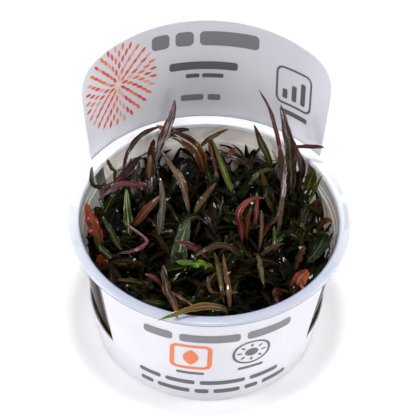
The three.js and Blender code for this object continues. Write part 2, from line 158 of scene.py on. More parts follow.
class Look:
    """A material under construction. A socket takes a value, a colour code or another socket, and tints are
    laid over its colour."""

    def __init__(self, name, **values):
        self.material = bpy.data.materials.new(name)
        self.material.use_nodes = True
        self.tree = self.material.node_tree
        self.surface = self.tree.nodes["Principled BSDF"]
        self.paint(**values)

    def paint(self, **values):
        for socket, value in values.items():
            self.put(self.surface.inputs[socket.replace("_", " ")], value)

    def put(self, socket, value):
        if isinstance(value, bpy.types.NodeSocket):
            self.tree.links.new(value, socket)
        else:
            socket.default_value = rgb(value) if isinstance(value, str) else value

    def add(self, kind, inputs, output=0, **settings):
        node = self.tree.nodes.new("ShaderNode" + kind)
        for name, value in settings.items():
            setattr(node, name, value)
        for socket, value in inputs.items():
            self.put(node.inputs[socket], value)
        return node.outputs[output]

    def math(self, operation, *values):
        return self.add("Math", dict(enumerate(values)), operation=operation)

    def times(self, first, second):
        return self.math("MULTIPLY", first, second)

    def gap(self, value, level):
        """How far a value is from a level."""
        return self.math("ABSOLUTE", self.math("SUBTRACT", value, level))

    def ramp(self, value, low, high, start=0.0, end=1.0):
        """Rises smoothly from start to end as value goes from low to high."""
        inputs = {"Value": value, "From Min": low, "From Max": high, "To Min": start, "To Max": end}
        return self.add("MapRange", inputs, interpolation_type="SMOOTHSTEP")

    def blend(self, share, first, second):
        return self.add("Mix", {0: share, 6: first, 7: second}, output=2, data_type="RGBA")

    def tint(self, share, code):
        self.colour = self.blend(share, self.colour, code)

    def place(self, sizes=(1, 1, 1)):
        """The place in metres, stretched along its axes."""
        return self.scaled(self.add("TexCoord", {}, output=3), sizes)

    def scaled(self, place, sizes):
        return self.add("VectorMath", {0: place, 1: sizes}, operation="MULTIPLY")

    def axis(self, letter):
        return self.math("DIVIDE", self.add("SeparateXYZ", {0: self.place()}, output=letter), MM)

    def radius(self):
        """The distance from the cup's axis."""
        metres = self.add("VectorMath", {0: self.place((1, 1, 0))}, output=1, operation="LENGTH")
        return self.math("DIVIDE", metres, MM)

    def noise(self, scale, detail=3.0, roughness=0.55, distortion=0.0, place=None):
        inputs = {"Vector": self.place() if place is None else place, "Scale": scale, "Detail": detail}
        return self.add("TexNoise", {**inputs, "Roughness": roughness, "Distortion": distortion})

    def bump(self, height, distance):
        self.paint(Normal=self.add("Bump", {"Height": height, "Distance": distance * MM, "Strength": 1.0}))

    def done(self, grain, smooth, rough):
        """The finished material. Its roughness follows a grain."""
        self.paint(Base_Color=self.colour, Roughness=self.ramp(grain, 0.3, 0.7, smooth, rough))
        return self.material


def leaf_look(name, codes, painted_sheen):
    """A wet leaf. Its colour runs from stalk to tip, with a pale midrib, tinted edges, side veins, mottling
    and streaks of painted silvery sheen. A low one gets painted shade deep in the tuft, painted light low by
    the wall."""
    stalk, blade, tip, rib, under = codes.split()
    crowded = name in CROWD_PALETTES
    low = crowded or name in DULL_PALETTES
    look = Look("leaf_" + name, IOR=1.15 if low else 1.38, Coat_Weight=0.25 if low else 1.0)
    look.paint(Coat_Roughness=0.05, Coat_IOR=1.36)
    place = look.add("UVMap", {}, uv_map="leaf")
    across = look.add("SeparateXYZ", {0: place}, output="X")
    along = look.add("SeparateXYZ", {0: place}, output="Y")
    off_rib = look.times(look.gap(look.math("FRACT", across), 0.5), 2.0)
    look.colour = look.blend(look.ramp(along, 0.0, 0.22), stalk, blade)
    look.tint(look.ramp(along, 0.68, 1.0), tip)
    look.tint(look.ramp(off_rib, 0.6, 1.0, 0.0, 0.55), tip)
    mottle = look.noise(420, 5.0, 0.65)
    look.tint(look.ramp(mottle, 0.35, 0.75, 0.0, 0.6), stalk)
    shade = look.ramp(look.noise(90, 2.0), 0.3, 0.7, 0.38, 1.1)
    # Painted shade darkens a low leaf deep in the tuft, and painted light brightens it low beside the wall
    if low:
        height = look.axis("Z")
        painted_wall_light = look.times(look.ramp(look.radius(), 30, 35), look.ramp(height, 28, 38, 8.0, 0.9))
        painted_daylight = look.math("MAXIMUM", look.ramp(height, 18, 43, 0.2, 1.1), painted_wall_light)
        shade = look.times(shade, painted_daylight)
    shaded = look.add("VectorMath", {0: look.colour, "Scale": shade}, operation="SCALE")
    value = CROWD_VALUE if crowded else LEAF_VALUE
    look.colour = look.add("HueSaturation", {"Color": shaded, "Saturation": 1.22, "Value": value})
    swept = look.math("MULTIPLY_ADD", off_rib, -0.9, look.times(along, 11.0))
    vein_line = look.ramp(look.math("PINGPONG", swept, 0.5), 0.0, 0.09, 0.25, 0.0)
    look.tint(vein_line, rib)
    rib_line = look.times(look.ramp(off_rib, 0.05, 0.16, 1.0, 0.0), look.ramp(along, 0.5, 1.0, 0.8, 0.15))
    look.tint(rib_line, rib)
    look.tint(look.times(look.math("GREATER_THAN", across, 1.0), 0.7), under)
    drawn_out = look.scaled(place, (5, 2.5, 0))
    drawn_out = look.add("VectorMath", {0: look.place((90, 90, 90)), 1: drawn_out}, operation="ADD")
    wrinkle = look.noise(1.0, 4.0, 0.6, place=drawn_out)
    # Painted sheen: pale silvery streaks laid over the colour where the wrinkle pattern is high
    painted_streak_start = 0.59 - 0.1 * painted_sheen
    look.tint(look.ramp(wrinkle, painted_streak_start, painted_streak_start + 0.1, 0.0, painted_sheen), "d2c6ce")
    raised = look.math("ADD", look.times(rib_line, 0.3), look.times(look.noise(1500, 3.0), 0.25))
    raised = look.math("SUBTRACT", raised, look.times(vein_line, 0.6))
    look.bump(look.math("MULTIPLY_ADD", wrinkle, 2.2, raised), 0.3)
    return look.done(mottle, 0.28, 0.5)


def stem_look():
    """A wet stem, brown at its foot and greener above, with fine lines along it."""
    look = Look("wet_stem", IOR=1.4, Coat_Weight=0.6, Coat_Roughness=0.08)
    look.colour = look.blend(look.ramp(look.axis("Z"), 18, 45), "3a2c20", "6c6048")
    fibre = look.noise(900, 4.0, 0.6, 0.4)
    look.tint(look.ramp(fibre, 0.4, 0.7, 0.0, 0.6), "3a2c20")
    look.bump(fibre, 0.15)
    return look.done(fibre, 0.3, 0.5)


def sheet_look():
    """White printing sheet with a satin face and a faint fibre, and painted shade on the panel that leans
    back.
    """
    look = Look("sheet_white", IOR=1.45)
    fibre = look.noise(2600, 4.0, 0.7)
    look.colour = look.blend(look.ramp(look.noise(38, 2.0), 0.3, 0.7), "dedde6", "e6e5ec")
    look.tint(look.ramp(fibre, 0.45, 0.8, 0.0, 0.25), "d2d1da")
    # Painted shade over the tall panel behind, which leans back
    look.tint(look.ramp(look.axis("Y"), 32, 42, 0.0, 0.5), "c2c1c8")
    look.bump(fibre, 0.02)
    return look.done(fibre, 0.38, 0.5)


def ink_look(name, code):
    """Printing ink, a little uneven, with a satin face."""
    look = Look(name, IOR=1.45)
    speckle = look.noise(3000, 3.0, 0.7)
    light = tuple(min(1, 1.25 * c + 0.02) for c in rgb(code)[:3]) + (1,)
    look.colour = look.blend(look.ramp(speckle, 0.5, 0.75, 0.0, 0.45), code, light)
    return look.done(speckle, 0.35, 0.5)


def wall_look(name, clearness, pale, dull, streaky, painted_dark_film=0.0):
    """Moulded plastic with upright flow lines and a painted highlight along its ledge. A film of painted
    dark brown shade stands for the shaded plants behind its front, with a painted highlight just past each
    sheet edge."""
    look = Look(name, IOR=1.03)
    upright = look.place((1, 1, 0.35))
    streak = look.noise(220, 3.0, 0.6, place=upright)
    cloud = look.noise(120, 2.0, 0.5, place=upright)
    look.colour = look.blend(look.ramp(cloud, 0.4, 0.6), *pale)
    look.tint(look.ramp(streak, 0.4, 0.75, 0.0, streaky), dull)
    x, y, height = look.axis("X"), look.axis("Y"), look.axis("Z")
    # Painted highlight along the ledge
    look.tint(look.ramp(look.gap(height, WALL_LEDGE_Z), 0.2, 0.5, 0.6, 0.0), "ffffff")
    # Painted shade: a dark brown film over the front stands for the shaded plants seen through it and lets
    # less light through
    painted_dark_share = look.ramp(y, -12, -2, painted_dark_film, 0.0)
    look.tint(painted_dark_share, look.blend(look.ramp(streak, 0.35, 0.65), "4c3621", "2c1d10"))
    # Painted grey highlight on the clear wall just past each edge of the sheet, above the band
    from_front = look.math("DEGREES", look.gap(look.math("ARCTAN2", y, x), -pi / 2))
    edge = PANEL_HALF_ANGLE + PAINTED_HIGHLIGHT_PAST_SHEET
    painted_edge_highlight = look.ramp(from_front, edge - 1.15, edge, 0.75 * painted_dark_film, 0.0)
    look.tint(look.times(painted_edge_highlight, look.ramp(height, 16, 22)), "a6a6b0")
    look.paint(Transmission_Weight=look.ramp(painted_dark_share, 0.0, 1.0, clearness, 0.25))
    look.bump(streak, 0.2)
    return look.done(streak, 0.02, 0.1)


def rim_look():
    """The thicker flange, milky where it cooled slowly, with thin spots in a ring, fainter behind as painted
    light.
    Painted bluish shade lies on its front and inner edge, and painted shade under its lip and inside."""
    look = Look("milky_rim", IOR=1.46, Transmission_Weight=0.06, Coat_Weight=0.5, Coat_Roughness=0.06)
    cloud = look.noise(120, 3.0)
    look.colour = look.blend(look.ramp(cloud, 0.3, 0.7), "f6f7fc", "fcfcff")
    radius, y, height = look.radius(), look.axis("Y"), look.axis("Z")
    ring = look.ramp(look.gap(radius, THIN_RING_RADIUS), 0.5, 0.8, 0.7, 0.0)
    spots = look.times(ring, look.ramp(look.noise(60, 2.0), 0.48, 0.56))
    # Thin spots in a ring, made fainter behind as painted light where the flange is lit less
    look.tint(look.times(spots, look.ramp(y, 0, 30, 1.0, 0.1)), "c4cccd")
    # Painted shade: the front of the flange is darker and bluish
    look.tint(look.ramp(y, -45, 25, 0.95, 0.0), "c2c8da")
    # Painted bluish shade along the inner edge, strongest in front
    inner = look.ramp(radius, RIM_INNER_RADIUS + 0.4, RIM_INNER_RADIUS + 1.1, 1.0, 0.0)
    look.tint(look.times(inner, look.ramp(y, -25, 10, 0.95, 0.1)), "909dbe")
    # Painted shadow along the underside of the lip
    lip = UNDER_FLANGE - LIP_DROP
    painted_lip_shadow = look.times(look.ramp(height, lip + 0.3, lip + 0.6, 0.9, 0.0),
                           look.math("GREATER_THAN", radius, WALL_TOP_RADIUS))
    look.tint(painted_lip_shadow, "6c7182")
    # Painted shade on the flange's inner face, low down
    inside = look.times(look.ramp(height, INNER_FACE_Z + 0.1, INNER_FACE_Z + 0.4, 0.6, 0.0),
                        look.math("LESS_THAN", radius, WALL_TOP_RADIUS))
    look.tint(inside, "8c909c")
    look.bump(cloud, 0.1)
    return look.done(cloud, 0.18, 0.28)


def gel_look():
    """Clear nutrient gel, a little yellow, wet on top."""
    look = Look("wet_gel", IOR=1.34, Transmission_Weight=0.85)
    look.colour = "b9a676"
    lumps = look.noise(220, 3.0)
    look.bump(lumps, 0.4)
    return look.done(lumps, 0.05, 0.2)


def floor_look():
    look = Look("pale_floor", IOR=1.4, Emission_Color="ffffff", Emission_Strength=0.2)
    cloud = look.noise(6, 2.0)
    look.colour = look.blend(look.ramp(cloud, 0.3, 0.7), "fafafb", "fdfdfe")
    return look.done(cloud, 0.7, 0.8)


def add_object(name, data):
    thing = bpy.data.objects.new(name, data)
    bpy.context.scene.collection.objects.link(thing)
    return thing


def make_piece(name, points, faces, looks, face_looks=None, corner_uvs=None, replaced=()):
    """A smooth-shaded mesh from points in millimetres, riding on the part's one body."""
    mesh = bpy.data.meshes.new(name)
    mesh.from_pydata([Vector(p) * MM for p in points], [], faces)
    for look in looks:
        mesh.materials.append(look)
    if face_looks:
        mesh.polygons.foreach_set("material_index", face_looks)
    if corner_uvs:
        layer = mesh.uv_layers.new(name="leaf")
        layer.data.foreach_set("uv", [value for face in corner_uvs for corner in face for value in corner])
    mesh.shade_smooth()
    mesh.set_sharp_from_angle(angle=radians(SHARP_ANGLE))
    mesh.validate()
    piece = add_object(name, mesh)
    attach(piece, "root")
    if replaced:
        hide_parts(*replaced)


def arc(centre, radius, start, stop, steps=6):
    """Points on a circle, with its angles in degrees from the +radius direction towards +z."""
    angles = [radians(mix(start, stop, k / steps)) for k in range(steps + 1)]
    return [(centre[0] + radius * cos(a), centre[1] + radius * sin(a)) for a in angles]


def hoops(count, sides, start=0):
    """The faces between rings of points, each ring joined to the next."""
    faces = []
    for foot in range(start, start + (count - 1) * sides, sides):
        for k in range(sides):
            a, b = foot + k, foot + (k + 1) % sides
            faces.append((a, b, b + sides, a + sides))
    return faces


def turned(profile, segments, shift=lambda radius, angle, z: z):
    """A profile that starts and ends on the axis, turned round it. shift may move a point's height."""
    points = [(0, 0, profile[0][1]), (0, 0, profile[-1][1])]
    for radius, z in profile[1:-1]:
        for k in range(segments):
            a = 2 * pi * k / segments
            points.append((radius * cos(a), radius * sin(a), shift(radius, a, z)))
    last = len(points) - segments
    bottom = [(0, 2 + (k + 1) % segments, 2 + k) for k in range(segments)]
    top = [(1, last + k, last + (k + 1) % segments) for k in range(segments)]
    return points, bottom + hoops(len(profile) - 2, segments, 2) + top


def wall_radius(z):
    """The cup's outer wall at a height."""
    return WALL_FOOT_RADIUS + WALL_SLOPE * (z - FOOT_ROUND)


def make_cup():
    inner_foot_z = BASE_THICKNESS + FOOT_ROUND
    inner_foot = wall_radius(inner_foot_z) - WALL
    lip_z = UNDER_FLANGE - LIP_DROP
    lip = RIM_RADIUS - LIP_WIDTH
    top = CUP_HEIGHT - EDGE_ROUND
    profile = [(0, 0)]
    profile += arc((WALL_FOOT_RADIUS - FOOT_ROUND, FOOT_ROUND), FOOT_ROUND, -90, 0)
    profile += [(wall_radius(z), z) for z in (10, 20, 30, 40)]
    profile += [(WALL_TOP_RADIUS, UNDER_FLANGE - 0.2)]
    flange_start = len(profile)
    profile += [(WALL_TOP_RADIUS + 0.2, UNDER_FLANGE)]
    profile += [(lip, UNDER_FLANGE), (lip, lip_z + 0.1), (lip + 0.1, lip_z)]
    profile += arc((RIM_RADIUS - 0.2, lip_z + 0.2), 0.2, -90, 0, 3)
    profile += arc((RIM_RADIUS - EDGE_ROUND, top), EDGE_ROUND, 0, 90)
    step = RIM_INNER_RADIUS + STEP_WIDTH
    profile += [(step + 0.15, CUP_HEIGHT), (step, CUP_HEIGHT - 0.1), (step - 0.15, CUP_HEIGHT - STEP_DEPTH)]
    inner_edge = (RIM_INNER_RADIUS + 2 * EDGE_ROUND, CUP_HEIGHT - STEP_DEPTH - 2 * EDGE_ROUND)
    profile += arc(inner_edge, 2 * EDGE_ROUND, 90, 180)
    flange_end = len(profile)
    for z in (INNER_FACE_Z, WALL_LEDGE_Z + 0.3, WALL_LEDGE_Z, 35, 25, 15, 8):
        ledge = WALL_LEDGE if z == WALL_LEDGE_Z else 0
        share = (z - inner_foot_z) / (top - inner_foot_z)
        profile.append((mix(inner_foot, RIM_INNER_RADIUS, share) - ledge, z))
    profile += arc((inner_foot - FOOT_ROUND, inner_foot_z), FOOT_ROUND, 0, -90)
    profile += [(0, BASE_THICKNESS)]
    points, faces = turned(profile, CUP_SEGMENTS)
    left, right = MIST_PAST_SHEET
    parts = []
    for k in range(len(faces)):
        turn = 360 * (k % CUP_SEGMENTS + 0.5) / CUP_SEGMENTS
        behind = abs(turn - 90) < PANEL_HALF_ANGLE
        in_front = -PANEL_HALF_ANGLE - left < turn - 270 < PANEL_HALF_ANGLE + right
        on_flange = flange_start <= k // CUP_SEGMENTS < flange_end
        parts.append(1 if on_flange else 2 if behind or in_front else 0)
    looks = [WALL_LOOK, RIM_LOOK, MISTY_LOOK]
    make_piece("clear_cup", points, faces, looks, parts, replaced=["cup"])


def sleeve_radius(turn, z):
    """The sheet's inner face. It lies along the cup in front and leans out past the rim behind."""
    from_front = abs((turn + 180) % 360 - 180)
    lean = smoothstep(from_front, PANEL_HALF_ANGLE, 180 - PANEL_HALF_ANGLE)
    return SLEEVE_FOOT_RADIUS + mix(WALL_SLOPE, BACK_SLOPE, lean) * z


def on_sleeve(turn, z, layer=0.0):
    """A point on the sheet, with layer 0 on its inner face and 1 on its outer face."""
    radius = sleeve_radius(turn, z) + layer * SHEET
    a = radians(turn)
    return (radius * sin(a), -radius * cos(a), z)


def bezier(a, b, c, steps):
    """Points on the curve from a to c that is drawn towards b."""
    shares = [k / steps for k in range(steps + 1)]
    return [lerp(lerp(a, b, t), lerp(b, c, t), t) for t in shares]


def panel_outline():
    """Half of the tall panel's top edge: degrees from its middle, and height above the rim."""
    side = [lerp((PANEL_HALF_ANGLE, 0), PANEL_SIDE, k / 8) for k in range(8)]
    corner = bezier(PANEL_SIDE, PANEL_CORNER, PANEL_SHOULDER, 10)
    crown = bezier(PANEL_SHOULDER, PANEL_BEND, PANEL_TOP, 24)
    return side + corner + crown[1:]


def sleeve_columns():
    """Angle and top edge of each column of the sheet, and whether only the band joins it to the next."""
    front_steps, window_steps = 48, 24
    window_end = 180 - PANEL_HALF_ANGLE
    window = [mix(PANEL_HALF_ANGLE, window_end, k / window_steps) for k in range(1, window_steps)]
    columns = []
    for k in range(front_steps + 1):
        columns.append((PANEL_HALF_ANGLE * (2 * k / front_steps - 1), FRONT_TOP_Z, k == front_steps))
    columns += [(turn, BAND_TOP_Z, True) for turn in window]
    outline = panel_outline()
    columns += [(180 - turn, CUP_HEIGHT + rise, False) for turn, rise in outline]
    columns += [(180 + turn, CUP_HEIGHT + rise, rise == 0) for turn, rise in outline[-2::-1]]
    columns += [(turn + 180, BAND_TOP_Z, True) for turn in window]
    return columns


def make_sleeve():
    columns = sleeve_columns()
    band_rows, panel_rows = 3, 8
    rows = band_rows + panel_rows
    points, faces = [], []
    for turn, top, _ in columns:
        heights = [mix(SLEEVE_FOOT_Z, BAND_TOP_Z, k / band_rows) for k in range(band_rows)]
        heights += [mix(BAND_TOP_Z, top, k / panel_rows) for k in range(panel_rows + 1)]
        points += [on_sleeve(turn, z, layer) for z in heights for layer in (0, 1)]
    count = len(columns)

    def outer(column, line):
        return ((column % count) * (rows + 1) + line) * 2 + 1

    def present(column, row):
        return 0 <= row < rows and (row < band_rows or not columns[column % count][2])

    for i in range(count):
        for row in range(rows):
            if not present(i, row):
                continue
            # The cell's outer corners. Just before each one comes its inner corner
            a, b, c, d = outer(i, row), outer(i + 1, row), outer(i + 1, row + 1), outer(i, row + 1)
            faces += [(a, b, c, d), (a - 1, d - 1, c - 1, b - 1)]
            if not present(i, row - 1):
                faces.append((a - 1, b - 1, b, a))
            if not present(i, row + 1):
                faces.append((d - 1, d, c, c - 1))
            if not present(i - 1, row):
                faces.append((a - 1, a, d, d - 1))
            if not present(i + 1, row):
                faces.append((b - 1, c - 1, c, b))
    used = sorted({v for face in faces for v in face})
    place = {old: new for new, old in enumerate(used)}
    points = [points[v] for v in used]
    faces = [tuple(place[v] for v in face) for face in faces]
    make_piece("printed_sleeve", points, faces, [SHEET_LOOK], replaced=["sleeve"])


INKS = {
    "grey": "77777c", "dark": "5c5c62", "red": "d8544c",
    "orange": "e87c40", "pink": "e6a09c", "cream": "e6d6a8",
}


def rounded(centre, size, corner, share=1.0):
    """Points round a rectangle with round corners, drawn in towards its middle by share."""
    corner = min(corner, size[0] / 2, size[1] / 2)
    across, up = size[0] / 2 - corner, size[1] / 2 - corner
    middles = ((across, up), (-across, up), (-across, -up), (across, -up))
    turns = [arc(middle, corner, 90 * k, 90 * k + 90, 5) for k, middle in enumerate(middles)]
    places = []
    straight = 6
    for turn, following in zip(turns, turns[1:] + turns[:1]):
        places += turn
        places += [lerp(turn[-1], following[0], k / straight) for k in range(1, straight)]
    return [(centre[0] + x * share, centre[1] + z * share) for x, z in places]


class Print:
    """Marks printed on one side of the sheet, placed across from the middle of their panel and by height."""

    PROUD = 0.05
    RINGS = (1, 0.75, 0.5, 0.25, 0.001)

    def __init__(self, inside):
        self.inside = inside
        self.points, self.faces, self.inks = [], [], []

    def place(self, across, z):
        middle, side, face = (180, -1, 0) if self.inside else (0, 1, 1)
        turn = middle + side * degrees(across / sleeve_radius(middle, z))
        return on_sleeve(turn, z, face + side * self.PROUD / SHEET)

    def patch(self, rings, ink):
        """Joins outlines of like length, each inside the next, into faces."""
        faces = hoops(len(rings), len(rings[0]), len(self.points))
        for ring in rings:
            self.points += [self.place(*p) for p in ring]
        self.faces += faces
        self.inks += [list(INKS).index(ink)] * len(faces)

    def frame(self, centre, size, corner, line, ink):
        """A rounded rectangle's outline."""
        inner = [side - 2 * line for side in size]
        self.patch([rounded(centre, size, corner), rounded(centre, inner, max(0.2, corner - line))], ink)

    def bar(self, centre, size, ink, corner=None):
        """A filled rounded bar, in rings so that it follows the sheet's curve."""
        corner = min(size) / 2 if corner is None else corner
        self.patch([rounded(centre, size, corner, share) for share in self.RINGS], ink)

    def words(self, left, z, height, lengths, gap, ink):
        """Bars in a row, as long as the words of a line."""
        for length in lengths:
            self.bar((left + length / 2, z), (length, height), ink, height * 0.3)
            left += length + gap

    def almond(self, centre, angle, length, width, ink, reach=0):
        """A leaf shape with two points, which points away from a centre and starts at a reach from it."""
        outline = []
        steps = 8
        for side, stops in ((1, range(steps)), (-1, range(steps, 0, -1))):
            for t in [k / steps for k in stops]:
                outline.append((t * length, side * width / 2 * sin(pi * t) ** 0.8))
        foot = arc(centre, reach, angle, angle, 1)[0]
        turn = Matrix.Rotation(radians(angle), 2)
        rings = []
        for share in self.RINGS[::2]:
            ring = [turn @ Vector((mix(length / 2, x, share), y * share)) for x, y in outline]
            rings.append([(foot[0] + p.x, foot[1] + p.y) for p in ring])
        self.patch(rings, ink)

    def make(self, name):
        make_piece(name, self.points, self.faces, INK_LOOKS, self.inks)


def make_back_print():
    """Inside of the tall panel: a round flower of petals, lines of bars and a framed sign of columns."""
    marks = Print(inside=True)
    marks.words(-17.5, 78, 5.2, (6, 6, 19.5), 2, "grey")
    marks.words(-11.5, 68, 2.9, (22.5,), 1, "dark")
    marks.words(-6, 64.2, 1.5, (4.5, 7), 0.9, "dark")
    marks.words(-7.6, 56, 2.2, (7.5, 4.2), 1.4, "grey")
    marks.frame((31, 66), (13.6, 13.6), 2.6, 0.75, "dark")
    for k, height in enumerate((3.4, 5.6, 7.8)):
        marks.bar((27.6 + 3.4 * k, 61.4 + height / 2), (1.8, height), "dark", 0.5)
    marks.words(26, 56.6, 1.7, (10.5,), 1, "dark")
    flower = (-30, 68)
    for ring in range(6):
        count = 9 + 4 * ring
        for k in range(count):
            turn = 360 * (k + 0.5 * (ring % 2)) / count
            ink = ("red", "orange", "pink", "red", "orange")[(k + 2 * ring) % 5]
            marks.almond(flower, turn, 2.8, 1.0, ink, reach=1.2 + 2.1 * ring)
    marks.bar(flower, (1.8, 1.8), "cream")
    marks.make("back_print")


def make_front_print():
    """Outside of the front panel: a title of bars, two framed signs and two lines of bars."""
    marks = Print(inside=False)
    marks.words(-22.5, 38, 4.4, (9.5, 19, 15), 2.2, "grey")
    marks.frame((-7, 26.8), (13.4, 14.4), 2.8, 1.5, "orange")
    marks.almond((-7, 22.2), 90, 9, 5, "orange")
    marks.words(-11.4, 17.2, 1.5, (8.8,), 1, "dark")
    sun = (12.2, 27.6)
    marks.frame(sun, (12.6, 13.4), 6.2, 0.9, "dark")
    marks.bar(sun, (4.4, 4.4), "dark")
    for k in range(8):
        marks.almond(sun, 45 * k, 2, 0.9, "dark", reach=3)
    marks.words(8, 18.6, 1.5, (8.4,), 1, "dark")
    marks.words(-24, 11.4, 2.4, (7.5, 9.5, 14.5, 10), 1.6, "dark")
    marks.words(-23.4, 6.2, 2.4, (4.4, 10.5, 4.4, 8.5, 4.4, 9), 1.6, "dark")
    marks.make("front_print")


def make_gel():
    foot = wall_radius(BASE_THICKNESS + FOOT_ROUND) - WALL - CLEARANCE
    edge = wall_radius(GEL_TOP_Z + GEL_EDGE_RISE) - WALL - CLEARANCE
    low = BASE_THICKNESS + CLEARANCE
    profile = [(0, low), *arc((foot - FOOT_ROUND, low + FOOT_ROUND), FOOT_ROUND, -90, 0)]
    for share in (0, 0.25, 0.5, 0.75, 1):
        profile.append((edge - GEL_EDGE_WIDTH * share, GEL_TOP_Z + GEL_EDGE_RISE * (1 - share) ** 2))
    profile += [((edge - GEL_EDGE_WIDTH) * (1 - k / 16), GEL_TOP_Z) for k in range(1, 17)]

    def uneven(radius, angle, z):
        if z < GEL_TOP_Z or radius > edge - GEL_EDGE_WIDTH:
            return z
        return z - 0.25 + 0.25 * noise.noise(radius * outward(angle) / 4)

    points, faces = turned(profile, 96, uneven)
    make_piece("gel", points, faces, [GEL_LOOK], replaced=["culture_gel"])


class Path:
    """A smooth line through points. Through three it is one bend, and through more it is a spline."""

    def __init__(self, stops):
        stops = [Vector(p) for p in stops]
        self.length = sum((b - a).length for a, b in zip(stops, stops[1:]))
        self.stops = [2 * stops[0] - stops[1], *stops, 2 * stops[-1] - stops[-2]]

    def at(self, t):
        spans = len(self.stops) - 3
        if spans == 2:
            a, b, c = self.stops[1:4]
            return a * (1 - t) ** 2 + (2 * b - (a + c) / 2) * 2 * t * (1 - t) + c * t * t
        k = min(int(t * spans), spans - 1)
        u = t * spans - k
        before, a, b, after = self.stops[k:k + 4]
        straight = 2 * a + (b - before) * u
        curved = (2 * before - 5 * a + 4 * b - after) * u * u + (3 * a - before - 3 * b + after) * u ** 3
        return (straight + curved) / 2

    def along(self, t):
        return (self.at(min(1, t + 0.01)) - self.at(max(0, t - 0.01))).normalized()


def tube(path, radius, sides, steps, swell=lambda t: 1.0):
    """A closed rod along a path, with its radius changed by swell."""
    points = []
    side = None
    for s in range(steps + 1):
        t = s / steps
        along = path.along(t)
        side = along.orthogonal() if side is None else side - along * side.dot(along)
        side.normalize()
        other = along.cross(side)
        for k in range(sides):
            a = 2 * pi * k / sides
            points.append(path.at(t) + (side * cos(a) + other * sin(a)) * radius * swell(t))
    ends = [tuple(range(sides))[::-1], tuple(range(steps * sides, (steps + 1) * sides))]
    return points, hoops(steps + 1, sides) + ends


def stem_swell(t):
    """A stem is a little thicker at its joints and thins towards its head."""
    joint = max(0, cos(t * 4 * 2 * pi)) ** 12
    return (1 - 0.35 * t ** 3) * (0.86 + 0.22 * joint)


# Shoots: foot, bend at mid height and head
SHOOTS = [
    ((-19, 20), (-1, 2), (-21, 24, 37)),
    ((-5, 22), (1, 1), (-4, 26, 36)),
    ((9, 16), (-1, 2), (11, 25, 32)),
    ((22, 15), (1, 1), (26, 18, 37)),
    ((-25, 2), (1, 0), (-27, 6, 36)),
    ((-8, 1), (1, 1), (-12, 4, 38)),
    ((7, -1), (-1, -1), (6, 3, 36)),
    ((18, 1), (1, -1), (24, 8, 49)),
    ((-14, -16), (1, 0), (-18, -12, 34)),
    ((14, -16), (0, 1), (17, -17, 34)),
]


def make_stems():
    for k, (foot, bend, head) in enumerate(SHOOTS):
        bottom = Vector((*foot, GEL_TOP_Z + CLEARANCE))
        middle = (bottom + Vector(head)) / 2 + Vector((*bend, 0))
        points, faces = tube(Path((bottom, middle, head)), STEM_RADIUS, 12, 40, stem_swell)
        name = "stem_%d" % (k + 1)
        make_piece("wet_" + name, points, faces, [STEM_LOOK], replaced=[name])


def leaf_share(t, blunt):
    """How wide a leaf is along its length, with a narrow base and a fine point, or a round tip if blunt."""
    rise = (0.03 + 0.97 * t) ** (1.3 if blunt else 0.85)
    return max(0, sin(pi * rise)) ** (0.42 if blunt else 0.6)


def stalk_foot(root):
    """Where a big leaf's stalk starts: low in the tuft, below its root or nearer to the cup's axis."""
    foot = Vector((root.x, root.y, 0))
    if foot.length > STALK_RING:
        foot *= STALK_RING / foot.length
    foot.z = STALK_FOOT_Z
    return foot


class Leaves:
    """A mesh of one or many leaves, each a thin closed blade with a folded midrib and rippled edges."""

    def __init__(self):
        self.points, self.faces, self.uvs, self.looks = [], [], [], []

    def add(self, path, width, face, look=0, on_stalk=False, twist=0, ripple=0.1, waves=3, phase=0,
            thickness=LEAF_THICKNESS, steps=22, columns=8, fold=LEAF_FOLD, blunt=False, keep=lambda p: p):
        start = len(self.points)
        ring = 2 * columns
        stations = []
        if on_stalk:
            base = path.at(0)
            foot = stalk_foot(base)
            rise = (base - foot).normalized()
            stations += [(foot.lerp(base, k / 5), rise, 0.0, 0.75 + 0.25 * k / 5) for k in range(5)]
        for s in range(steps):
            t = s / steps
            stations.append((path.at(t), path.along(t), t, 1.0))
        for centre, along, t, share in stations:
            turn = radians(face + twist * (t - 0.5))
            facing = Vector((sin(turn), -cos(turn), LEAF_UPWARD))
            up = (facing - along * facing.dot(along)).normalized()
            side = up.cross(along)
            half = width / 2 * leaf_share(t, blunt) * share
            spots = [Vector((t * path.length / 3, s, phase)) for s in (0, 7.3)]
            uneven = [1 + EDGE_UNEVEN * noise.noise(spot) for spot in spots]
            for k in range(ring):
                lower = k > columns
                c = 3 - 2 * k / columns if lower else 2 * k / columns - 1
                swing = sin(2 * pi * (waves * t + (0.23 if c > 0 else 0)) + phase)
                edge = half * ripple * swing * abs(c) ** 3 * sin(pi * t)
                body = thickness / 2 * sqrt(max(0.02, 1 - c * c)) * (-1 if lower else 1)
                rise = half * fold * abs(c) ** 1.5 + edge + (0 if abs(c) == 1 else body)
                self.points.append(keep(centre + side * half * c * uneven[c > 0] + up * rise))
        tip = len(self.points)
        last = tip - ring
        self.points.append(keep(path.at(1)))
        self.faces += hoops(len(stations), ring, start)
        self.faces += [(last + k, last + (k + 1) % ring, tip) for k in range(ring)]
        self.faces.append(tuple(range(start, start + ring))[::-1])
        levels = [t for _, _, t, _ in stations] + [1.0]
        for v, above in zip(levels, levels[1:]):
            for k in range(ring):
                left, right = k / columns, (k + 1) / columns
                ends = ((right, above), (left, above)) if above < 1 else (((left + right) / 2, above),)
                self.uvs.append(((left, v), (right, v), *ends))
        self.uvs.append(((0.5, 0),) * ring)
        self.looks += [look] * (len(self.faces) - len(self.looks))

    def make(self, name, looks, slot, replaced):
        make_piece(name, self.points, self.faces, looks, self.looks, self.uvs, replaced)


